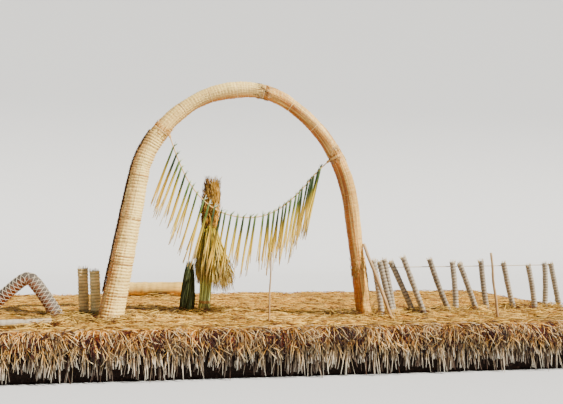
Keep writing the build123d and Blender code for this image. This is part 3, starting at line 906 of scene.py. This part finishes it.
def brow_straws(name, edge, density, seed):
    """Tangled straws that lie over the rounded edge, cross each other and droop past it."""
    draw = Draws(seed, int(edge.length * density))
    along = draw.even(0.04, edge.length - 0.04)
    low = -0.04 + 0.39 * draw.rng.beta(1.2, 1.2, draw.count)
    start = low - draw.even(0.02, 0.1)
    length = draw.even(0.12, 0.34)
    swing = draw.bell(0.1, 0.62) + 0.35 * smooth_noise(seed, 0.7, along)
    droop = np.cos(swing)
    lift = draw.even(0.0, 0.05)
    rows = []
    for share in (0.0, 0.33, 0.67, 1.0):
        out, height, angle = edge_profile(start + droop * length * share)
        shift = 0.004 + lift * share + 0.012 * math.sin(share * math.pi)
        out = np.minimum(out + shift * np.sin(angle), 0.055)
        height = height + shift * np.cos(angle)
        place = np.clip(along + np.sin(swing) * length * share, 0.0, edge.length)
        rows.append(edge.place(place, out - corner_pull(edge, place), height))
    paths = np.stack(rows, axis=1)
    radii = draw.taper(0.0035, 0.0075, 0.8, 1.0, 1.0, 0.7)
    red = 0.5 + 0.35 * smooth_noise(seed + 2, 0.5, along, low * 3)
    pale = draw.even(0, 1) < np.interp(low, (0, 0.08, 0.2, 0.35), (0.62, 0.2, 0.24, 0.45))
    tones = np.where(pale, draw.even(0, 0.2), red + draw.even(0.25, 0.6))
    tones = np.clip(tones, 0, 1)
    arrays = strand_arrays(paths, radii, 3, 0.8, tones, edge.along, draw.even(0, 3))
    mesh_piece(name, *arrays, brow, "reed_fringe")


# straws per metre of each side: hanging, over the edge
edge_density = {"front": (165, 380), "back": (90, 110), "right": (100, 130), "left": (100, 130)}
for number, (side_name, edge) in enumerate(edges.items()):
    butts, brows = edge_density[side_name]
    hanging_butts("butts_" + side_name, edge, "fringe_" + side_name, butts, 100 + number)
    brow_straws("brow_" + side_name, edge, brows, 120 + number)


# Deck

grid_x = 170
grid_y = 84
edge_rings = 12


def reach_at(y):
    """Half length of the deck at a distance across, shorter in its cut corners."""
    return half_length - np.clip(np.abs(y) - (half_width - corner_cut), 0, corner_cut)


def deck_height(x, y):
    """Height of the matted deck, rounded down at its edge."""
    to_edge = np.maximum(np.minimum(reach_at(y) - np.abs(x), half_width - np.abs(y)), 0)
    inside = np.clip(edge_round - to_edge, 0, edge_round)
    drop = edge_round - np.sqrt(np.maximum(edge_round**2 - inside**2, 0))
    lumps = 0.012 * smooth_noise(201, 0.9, x, y) + 0.006 * smooth_noise(202, 0.25, x, y)
    return deck_top - mat_drop + lumps - drop


def deck_slab():
    """Matted top of the raft, with painted shade darkening its rounded edge and sides, closed below."""
    rim = edge_round * (1 - np.cos(np.linspace(0, math.pi / 2, edge_rings)))
    inside = half_width - edge_round
    middle = np.linspace(-inside, inside, grid_y)[1:-1]
    y = np.concatenate([-half_width + rim, middle, half_width - rim[::-1]])
    flat = 1 - edge_round / half_length
    ring = rim / half_length
    share = np.concatenate([-1 + ring, np.linspace(-flat, flat, grid_x)[1:-1], 1 - ring[::-1]])
    x = share[:, None] * reach_at(y)[None]
    top = columns(x, y, deck_height(x, y)).reshape(-1, 3)
    index = np.arange(x.size).reshape(x.shape)
    quads = columns(index[:-1, :-1], index[1:, :-1], index[1:, 1:], index[:-1, 1:])
    rim = np.concatenate([index[:-1, 0], index[-1, :-1], index[:0:-1, -1], index[0, :0:-1]])
    bottom = top[rim] * (0.99, 0.985, 0) + (0, 0, deck_bottom)
    hub = np.array([[0, 0, deck_bottom]])
    low = len(top) + np.arange(len(rim))
    wall = columns(rim, low, np.roll(low, -1), np.roll(rim, -1))
    under = columns(low[-1] + 1, np.roll(low, -1), low)
    points = np.concatenate([top, bottom, hub])
    faces = np.concatenate([quads.reshape(-1, 4), wall])
    # Painted shade: darker down the rounded edge and on the sides, behind the hanging ends.
    dark = {"tone": np.clip((deck_top - mat_drop - points[:, 2]) / 0.09, 0, 1)}
    mesh_piece("deck_mat", points, faces, under, dark, matted_gold, "reed_deck", ("deck_reeds",))


def litter(name, places, seed, mean_length=0.26, spread_angle=0.9, lift=0.026, heap=0.0):
    """Loose straws lying on the deck at given places, mostly along it, with painted light and shade in
    clumps.
    """
    draw = Draws(seed, len(places))
    length = mean_length * draw.even(0.35, 1.7)
    heading = draw.bell(0, spread_angle) + math.pi * draw.rng.integers(0, 2, draw.count)
    half = columns(np.cos(heading), np.sin(heading)) * length[:, None] / 2
    ends = []
    for sign in (-1, 1):
        place = places + sign * half
        limit = reach_at(np.clip(place[:, 1], -half_width, half_width)) - 0.01
        place[:, 0] = np.clip(place[:, 0], -limit, limit)
        place[:, 1] = np.clip(place[:, 1], -half_width + 0.01, half_width - 0.01)
        height = deck_height(place[:, 0], place[:, 1]) + draw.even(0.0, lift)
        if heap > 0:
            height = height + heap * draw.even(0, 1) ** 2
        ends.append(np.column_stack([place, height]))
    paths = curved_paths(ends[0], ends[1], 3, draw.even(0.0, 0.014), up)
    radii = draw.taper(0.0035, 0.007, 0.9, 1.0, 0.7)
    # Painted light and shade: lit and dark clumps of straws, the dark ones also standing for gaps
    # between them.
    clumps = smooth_noise(seed + 40, 0.15, places[:, 0], 0.28 * places[:, 1], waves=24)
    near_edge = np.clip((-2.4 - places[:, 1]) / 0.7, 0, 1)
    tones = np.clip(0.38 + 0.75 * clumps + 0.2 * near_edge + draw.bell(0, 0.12), 0, 1)
    arrays = strand_arrays(paths, radii, 3, 0.6, tones, up, draw.even(0, 3))
    mesh_piece(name, *arrays, gold, "reed_deck")


deck_slab()
deck_rng = np.random.default_rng(300)
# straws and their limits across the deck
for side_name, straws, limits, number in (
    ("front", 5600, (-3.18, -0.6), 301), ("back", 3000, (-0.6, 3.2), 302)
):
    places = columns(deck_rng.uniform(-5.9, 5.9, straws), deck_rng.uniform(*limits, straws))
    litter("litter_" + side_name, places, number)
left_foot = arch_middle[:2] + (left_foot_x, 0)
right_foot = arch_line(right_end)[0][:2]
# heaps at the feet of what stands there: centre, straws, spread
straw_heaps = (
    (left_foot, 420, 0.3), (right_foot, 300, 0.25), (sheaf_place, 260, 0.28), ((-3.4, -1.8), 300, 0.26),
    ((-3.8, -2.42), 160, 0.16),
)
heaps = [np.array(centre) + deck_rng.normal(0, spread, (straws, 2)) * (1.4, 0.8)
         for centre, straws, spread in straw_heaps]
row_way = np.array((0.985, 0.171))
roll_feet = [np.array(right_row[0]) + row_way * place for place in
             (0.0, 0.2, 0.64, 0.8, 1.4, 1.55, 2.0, 2.24, 2.86, 3.25, 3.6, 3.9)]
roll_feet += [(-3.2, -1.3), (-3.4, -1.3), (-3.84, -1.28), (-5.1, -1.25), (-3.75, -2.42), (-2.3, 2.5)]
heaps += [np.array(centre) + deck_rng.normal(0, 0.12, (75, 2)) for centre in roll_feet]
litter("litter_heaps", np.concatenate(heaps), 303, mean_length=0.22, spread_angle=1.2, lift=0.03,
       heap=0.11)
# The lower reed layers take the nearly black painted shade.
dress(["lower_reeds", "middle_reeds"], dark_straw)
dress([f"root_block_{number}" for number in range(1, 9)], peat)


# Sheaf

lean_turn = np.array([
    [math.cos(sheaf_lean), 0, -math.sin(sheaf_lean)],
    [0, 1, 0],
    [math.sin(sheaf_lean), 0, math.cos(sheaf_lean)],
])


def on_sheaf(points):
    """Points of the upright sheaf, moved to its place and leant over."""
    return np.array([*sheaf_place, deck_top]) + points @ lean_turn


def polar(angle, radius, height):
    """Points round an upright axis."""
    return columns(radius * np.cos(angle), radius * np.sin(angle), height)


def sheaf_stalks():
    """Close stalks from the foot, through the tie, to the neck."""
    draw = Draws(401, 320)
    angle = draw.even(0, full_turn)
    share = np.sqrt(draw.even(0.35, 1))
    profile = ((0, 0.125), (0.19, 0.098), (0.5, 0.11), (1.0, 0.125), (1.62, 0.13))
    rows = [polar(angle + 0.15 * n, share * radius, height)
            for n, (height, radius) in enumerate(profile)]
    paths = on_sheaf(np.stack(rows, axis=1))
    radii = draw.even(0.005, 0.009)[:, None]
    kind = smooth_noise(409, 0.55, angle)
    tones = np.clip(0.36 - 1.5 * kind + draw.bell(0, 0.15), 0, 1)
    arrays = strand_arrays(paths, radii, 4, 0.8, tones, along_y)
    mesh_piece("sheaf_stalks", *arrays, sheaf_stalk, "reed_green", ("sheaf_body",))


def drooping_leaves(name, nodes, count, angles, tops, reach, lows, seed):
    """Leaves that hang from the neck and spread at their lower ends."""
    draw = Draws(seed, count)
    angle = draw.even(*angles)
    start = on_sheaf(polar(angle, draw.even(0.11, 0.155), draw.even(*tops)))
    spread = angle + draw.bell(0, 0.12)
    end = on_sheaf(polar(spread, draw.even(*reach), draw.even(*lows)))
    paths = curved_paths(start, end, 6, draw.even(0.0, 0.05), polar(angle, 1, 0))
    radii = draw.taper(0.005, 0.011, 0.9, 1.1, 1.2, 1.1, 0.8, 0.3)
    clumps = smooth_noise(seed + 5, 0.35, angle)
    # Painted light and shade: darker on the left, lighter on the right, with random clumps.
    tones = np.clip(0.45 - 0.25 * np.cos(angle) + 0.8 * clumps + draw.bell(0, 0.2), 0, 1)
    arrays = strand_arrays(paths, radii, 4, 0.35, tones, up, draw.even(0, 3))
    mesh_piece(name, *arrays, sheaf_leaf, "reed_green", nodes)


def seed_head():
    """Dense brown plumes over the neck, ragged at the top."""
    draw = Draws(402, 1200)
    height = draw.even(1.5, 2.4)
    angle = draw.even(0, full_turn)
    radius = np.interp(height, (1.5, 1.8, 2.1, 2.4), (0.12, 0.155, 0.145, 0.1))
    start = on_sheaf(polar(angle, radius * draw.even(0.75, 1.0), height))
    length = draw.even(0.09, 0.24)
    outwards = draw.even(0.05, 0.4)
    way = unit(polar(angle + draw.bell(0, 0.5), outwards, 1))
    end = start + way * length[:, None]
    end[:, 2] = np.minimum(end[:, 2], deck_top + 2.58)
    paths = curved_paths(start, end, 4, draw.even(0.0, 0.02), polar(angle, 1, 0))
    radii = draw.taper(0.003, 0.007, 0.6, 1.2, 1.0, 0.3)
    # Painted light and shade: darker on the left side of the head, lighter on the right.
    tones = np.clip(0.45 - 0.45 * np.cos(angle) + draw.bell(0, 0.28), 0, 1)
    plumes = strand_arrays(paths, radii, 3, 0.8, tones, up)
    core_height = np.linspace(1.45, 2.42, 24)
    core_radius = np.interp(core_height, (1.45, 1.8, 2.1, 2.42), (0.11, 0.145, 0.13, 0.05))
    core = on_sheaf(columns(0, 0, core_height))
    middle = strand_arrays(core[None], core_radius[None], 20, 1.0, 0.9, along_y)
    spikes = 40
    rng = draw.rng
    angle = rng.uniform(0, full_turn, spikes)
    start = on_sheaf(polar(angle, rng.uniform(0, 0.1, spikes), 2.35))
    reach = rng.uniform(0.05, 0.2, spikes)
    end = on_sheaf(polar(angle, reach, rng.uniform(2.42, 2.6, spikes)))
    tips = strand_arrays(curved_paths(start, end, 3), [0.004, 0.004, 0.002], 3, 1.0, 0.2, up)
    arrays = joined([plumes, middle, tips])
    mesh_piece("seed_plumes", *arrays, plume, "reed_seed", ("sheaf_head",))


def side_bundle():
    """Small dark green bundle that stands close on the left, its own dark green made darker still as
    painted shade.
    """
    draw = Draws(403, 420)
    angle = draw.even(0, full_turn)
    share = np.sqrt(draw.even(0.1, 1))
    foot = on_sheaf((-0.34, 0, 0) + polar(angle, share * 0.14, -0.01))
    height = draw.even(0.55, 0.95)
    top = on_sheaf((-0.315, 0, 0) + polar(angle + 0.5, share * 0.07, height))
    paths = curved_paths(foot, top, 5, draw.bell(0, 0.02), polar(angle, 1, 0))
    radii = draw.taper(0.006, 0.011, 1, 1, 1, 0.8, 0.3)
    arrays = strand_arrays(paths, radii, 4, 0.5, draw.even(0.2, 1), along_y)
    mesh_piece("side_bundle", *arrays, dark_green, "reed_green", ("sheaf_side_bundle",))


def sheaf_cord():
    """Rope tied round the sheaf over its foot."""
    turns = 4
    share = np.linspace(0, 1, turns * 40)
    path = on_sheaf(polar(share * turns * full_turn, 0.108, 0.165 + share * 0.05))
    arrays = strand_arrays(path[None], 0.007, 6)
    mesh_piece("sheaf_cord", *arrays, rope, "rope", ("sheaf_tie",))


sheaf_stalks()
drooping_leaves("sheaf_leaves", (), 560, angles=(0, full_turn), tops=(1.25, 1.62),
                reach=(0.13, 0.24), lows=(0.5, 1.0), seed=404)
drooping_leaves("sheaf_skirt_leaves", ("sheaf_skirt",), 420, angles=(-1.25, 1.25), tops=(1.2, 1.56),
                reach=(0.3, 0.56), lows=(0.38, 0.8), seed=405)
seed_head()
side_bundle()
sheaf_cord()


# Poles, stakes and rolls

def crooked_pole(name, node, start, end, radius, seed, top_share):
    """Bare pole, a little crooked and knotty, thinner at the top."""
    share = np.linspace(0, 1, 48)
    path = lerp(np.array(start, float), np.array(end, float), share[:, None])
    wander = columns(*(smooth_noise(seed + n, 0.8, share * 1.4) for n in range(2)), 0)
    path = path + np.sin(share * math.pi)[:, None] * wander * radius * 0.3
    swell = 1 + 0.05 * smooth_noise(seed + 3, 0.12, share)
    radii = radius * np.interp(share, (0, 1), (1.0, top_share)) * swell
    arrays = strand_arrays(path[None], radii[None], 14, reference=along_y)
    mesh_piece(name, *arrays, wood, "pole", (node,))


def leaning_point(foot, lean, distance):
    """Place on a stake at a distance from its foot on the deck, leaning to the right."""
    lean = math.radians(lean)
    return (foot[0] + math.sin(lean) * distance, foot[1], deck_top + math.cos(lean) * distance)


stake_depth = -0.4
for side_name, foot, lean, top, radius, number, top_share in (
    ("front", (-0.21, -2.417), 1.8, 1.153, 0.016, 501, 0.8),
    ("right", (3.829, -2.343), -4.9, 1.132, 0.024, 511, 0.85),
):
    ends = leaning_point(foot, lean, stake_depth), leaning_point(foot, lean, top)
    crooked_pole("stake_" + side_name, "mooring_stake_" + side_name, *ends, radius, number, top_share)
pole_low, pole_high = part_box("prop_pole")
crooked_pole("leaning_pole", "prop_pole", (1.965, -2.19, deck_top - 0.02),
             (pole_low.x + 0.03, pole_high.y - 0.03, pole_high.z - 0.02), 0.032, 521, 0.9)


def bound_rolls(name, node, starts, ends, radius, pitch, depth, seed, material=grey,
                slot="reed_grey", sides=16, dark=1.0):
    """Reed rolls bound at a close pitch, swelling between the turns, with painted shade darkening the
    grooves.
    """
    draw = Draws(seed, len(starts))
    starts, ends = np.array(starts), np.array(ends)
    length = np.linalg.norm(ends[0] - starts[0])
    steps = int(length / (pitch / 5))
    share = np.linspace(0, 1, steps)
    paths = curved_paths(starts, ends, steps, draw.bell(0, 0.012), (1, 0, 0))
    distance = share * length
    off = np.abs((distance / pitch + draw.even(0, 1)[:, None] + 0.5) % 1 - 0.5) * 2
    belly = np.sin(np.clip(off, 0, 1) * math.pi / 2)
    lumps = np.stack([smooth_noise(seed + n, 0.2, distance) for n in range(draw.count)])
    radii = radius * (1 - depth) + radius * depth * belly + radius * 0.03 * lumps
    tones = draw.even(0.1, 0.9)
    points, quads, triangles, attributes = strand_arrays(paths, radii, sides, 1.0, tones, along_y)
    rough = smooth_noise(seed + 50, 0.03, *points.T)
    centre = np.repeat(paths.reshape(-1, 3), sides, axis=0)
    points = points + unit(points - centre) * (0.0015 * rough)[:, None]
    # Painted shade in the grooves between the turns, scaled by dark.
    attributes["groove"] = dark * np.repeat(np.exp(-(off / 0.3) ** 2).ravel(), sides)
    mesh_piece(name, points, quads, triangles, attributes, material, slot, (node,))


# forward shift, foot and top along the row, height
thin_rolls = (
    (0.13, -0.075, -0.235, 0.985), (0.13, 0.135, -0.11, 0.96), (0, 0.233, 0.05, 0.985),
    (0, 0.643, 0.185, 0.95), (0.13, 0.787, 0.37, 1.03), (0, 1.404, 1.0, 0.985),
    (0, 1.55, 1.49, 0.93), (0, 2.005, 1.65, 0.9), (0, 2.238, 2.13, 0.94),
    (0, 2.86, 2.65, 0.9), (0.13, 3.25, 3.12, 0.85), (0, 3.6, 3.63, 0.88),
    (0, 3.96, 3.78, 0.87),
)
thick_rolls = ((0, 0, 0.036, 0.8), (0, 0.2, 0.24, 0.843))
# places along the row and heights
folded_roll = (
    (0.642, 0), (0.86, 0.34), (1.06, 0.62), (1.178, 0.7), (1.31, 0.62), (1.6, 0.36), (1.994, 0),
)


def row_place(first, last):
    """Start and direction along a row on the deck, and the direction to its front."""
    first, last = np.array([*first, deck_top]), np.array([*last, deck_top])
    way = unit(last - first)
    return first, way, np.cross(way, up)


def row_rolls(rolls, first, last):
    """Feet and tops of straight rolls in a row."""
    start, way, forwards = row_place(first, last)
    feet = [start + way * foot + forwards * shift for shift, foot, _, _ in rolls]
    tops = [start + way * top + forwards * shift + up * height for shift, _, top, height in rolls]
    feet, tops = np.array(feet), np.array(tops)
    return feet - unit(tops - feet) * 0.02, tops


thin_row = row_rolls(thin_rolls, *right_row)
thick_row = row_rolls(thick_rolls, *left_row)
bound_rolls("rolls_thin", "thin_rolls", *thin_row, thin_radius, pitch=0.06, depth=0.17, seed=601)
bound_rolls("rolls_thick", "thick_rolls", *thick_row, thick_radius, pitch=0.055, depth=0.14, seed=602,
            material=pale_grey, sides=28)
log_radius, seat_radius = 0.058, 0.165
log_start = (-half_length + 0.48, -half_width + 0.69, deck_top + log_radius)
log_end = (-half_length + 2.33, -half_width + 0.9, deck_top + log_radius)
bound_rolls("log_edge", "edge_log", [log_start], [log_end], log_radius, pitch=0.09, depth=0.03, seed=603,
            sides=24, dark=0.3)
seat_start, seat_end = (-3.05, 2.72, deck_top + seat_radius), (-1.52, 2.56, deck_top + seat_radius)
bound_rolls("log_seat", "seat_log", [seat_start], [seat_end], seat_radius, pitch=0.14, depth=0.015,
            seed=604, material=tan, slot="reed_tan", sides=40, dark=0.3)


def roll_tips(name, feet, tops, radius, each, seed):
    """Frayed reed ends that stand out of the tops of rolls."""
    feet, tops = np.repeat(feet, each, axis=0), np.repeat(tops, each, axis=0)
    draw = Draws(seed, (len(tops), 1))
    way = unit(tops - feet)
    across = unit(np.cross(way, along_y))
    angle = draw.even(0, full_turn)
    ring = across * np.cos(angle) + along_y * np.sin(angle)
    low = tops + ring * radius * draw.even(0.3, 0.92) - way * 0.04
    high = low + way * draw.even(0.045, 0.1) + ring * draw.even(0, 0.03)
    radii = draw.even(0.003, 0.0055) * (1, 1, 0.5)
    tones = draw.even(0, 1)[:, 0]
    arrays = strand_arrays(curved_paths(low, high, 3), radii, 3, 0.7, tones, along_y)
    mesh_piece(name, *arrays, pale_grey, "reed_grey")


roll_tips("tips_thin", *thin_row, thin_radius, 16, 621)
roll_tips("tips_thick", *thick_row, thick_radius, 40, 622)


def smooth_line(points, steps):
    """Even points along a smooth curve that starts and ends at the first and last given."""
    points = np.asarray(points, float)
    for _ in range(4):
        low, high = points[:-1], points[1:]
        cut = np.stack([lerp(low, high, 0.25), lerp(low, high, 0.75)], axis=1).reshape(-1, 3)
        points = np.concatenate([points[:1], cut[1:-1], points[-1:]])
    runs = running_length(points)
    return point_at(np.linspace(0, runs[-1], steps), runs, points), runs[-1]


def around_path(path, turns, radius, count, start):
    """Rope points wound round a path that lies in an upright plane along X."""
    centre = point_at(np.linspace(0, len(path) - 1, count), np.arange(len(path)), path)
    tangent = unit(np.gradient(centre, axis=0))
    side = unit(np.cross(tangent, along_y))
    over = np.cross(side, tangent)
    angle = np.linspace(0, turns * full_turn, count)[:, None] + start
    return centre + (side * np.cos(angle) + over * np.sin(angle)) * radius


def folded_thick_roll():
    """Thick roll bent double, netted with rope both ways round."""
    steps, sides = 160, 40
    start, way, _ = row_place(*left_row)
    path, length = smooth_line([start + way * s + up * height for s, height in folded_roll], steps)
    distance = np.linspace(0, length, steps)
    lumps = smooth_noise(611, 0.15, distance)
    radii = 0.106 + 0.003 * lumps + 0.003 * np.cos(distance / 0.09 * full_turn)
    tube = strand_arrays(path[None], radii[None], sides, 1.0, 0.6, along_y)
    points, quads, triangles, attributes = tube
    centre = np.repeat(path, sides, axis=0)
    rough = smooth_noise(612, 0.03, *points.T)
    points = points + unit(points - centre) * (0.003 * rough)[:, None]
    points[:, 2] = np.maximum(points[:, 2], deck_top - 0.01)
    attributes["groove"] = np.full(len(points), 0.15)
    attributes["tone"] = np.clip(0.35 - (points - centre)[:, 2] / 0.12, 0, 1)
    mesh_piece("roll_folded", points, quads, triangles, attributes, netted, "reed_grey",
               ("thick_folded_roll",))
    net = []
    for turns in (length / 0.3, -length / 0.3):
        for quarter in range(4):
            wound = around_path(path, turns, 0.111, 200, math.pi / 2 * quarter)
            wound[:, 2] = np.maximum(wound[:, 2], deck_top)
            net.append(strand_arrays(wound[None], 0.0044, 4, reference=along_y))
    mesh_piece("roll_net", *joined(net), net_rope, "rope")


folded_thick_roll()

rail_low, rail_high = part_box("rail_rope")
rail_radius = 0.007
rail_height = rail_low.z + rail_radius
rail_start = np.array([[rail_low.x, rail_low.y + rail_radius, rail_height]])
rail_finish = np.array([[rail_high.x, rail_high.y - rail_radius, rail_height]])
rail_path = curved_paths(rail_start, rail_finish, 160, -0.004)
rail_arrays = strand_arrays(rail_path, 0.0085, 8)
mesh_piece("rail_line", *rail_arrays, net_rope, "rope", ("rail_rope",))


# Floor at the waterline, light

floor_material = bpy.data.materials.new("pale_floor")
floor_material.use_nodes = True
floor_shader = floor_material.node_tree.nodes["Principled BSDF"]
floor_shader.inputs["Base Color"].default_value = (0.60, 0.61, 0.62, 1)
floor_shader.inputs["Roughness"].default_value = 0.8
floor_shader.inputs["Specular IOR Level"].default_value = 0.1


def studio_sheet(name, profile):
    """A pale sheet across the whole studio through the given (y, z) places."""
    points = [(x, y, z) for y, z in profile for x in (-studio_side, studio_side)]
    faces = [(2 * n, 2 * n + 1, 2 * n + 3, 2 * n + 2) for n in range(len(profile) - 1)]
    mesh = bpy.data.meshes.new(name)
    mesh.from_pydata(points, [], faces, shade_flat=False)
    mesh.materials.append(floor_material)
    linked(name, mesh)


studio_side = 90
floor_front, floor_back = -60, 26
sweep_radius, wall_top = 14, 45
wall = []
for degrees in range(0, 91, 5):
    sweep = math.radians(degrees)
    height = waterline + sweep_radius * (1 - math.cos(sweep))
    wall.append((floor_back + sweep_radius * math.sin(sweep), height))
studio_sheet("floor", [(floor_front, waterline), (floor_back, waterline)])
studio_sheet("backdrop", wall + [(floor_back + sweep_radius, wall_top)])

world = bpy.data.worlds.new("studio")
world.use_nodes = True
sky = world.node_tree.nodes["Background"].inputs
sky["Color"].default_value = (0.80, 0.86, 0.94, 1)
sky["Strength"].default_value = 0.42
bpy.context.scene.world = world

sun_data = bpy.data.lights.new("key", "SUN")
sun_data.energy = 11.5
sun_data.angle = math.radians(0.8)
sun_data.color = (1.0, 0.94, 0.84)
sun = linked("key", sun_data)
sun.rotation_euler = (math.radians(48), 0, math.radians(58))
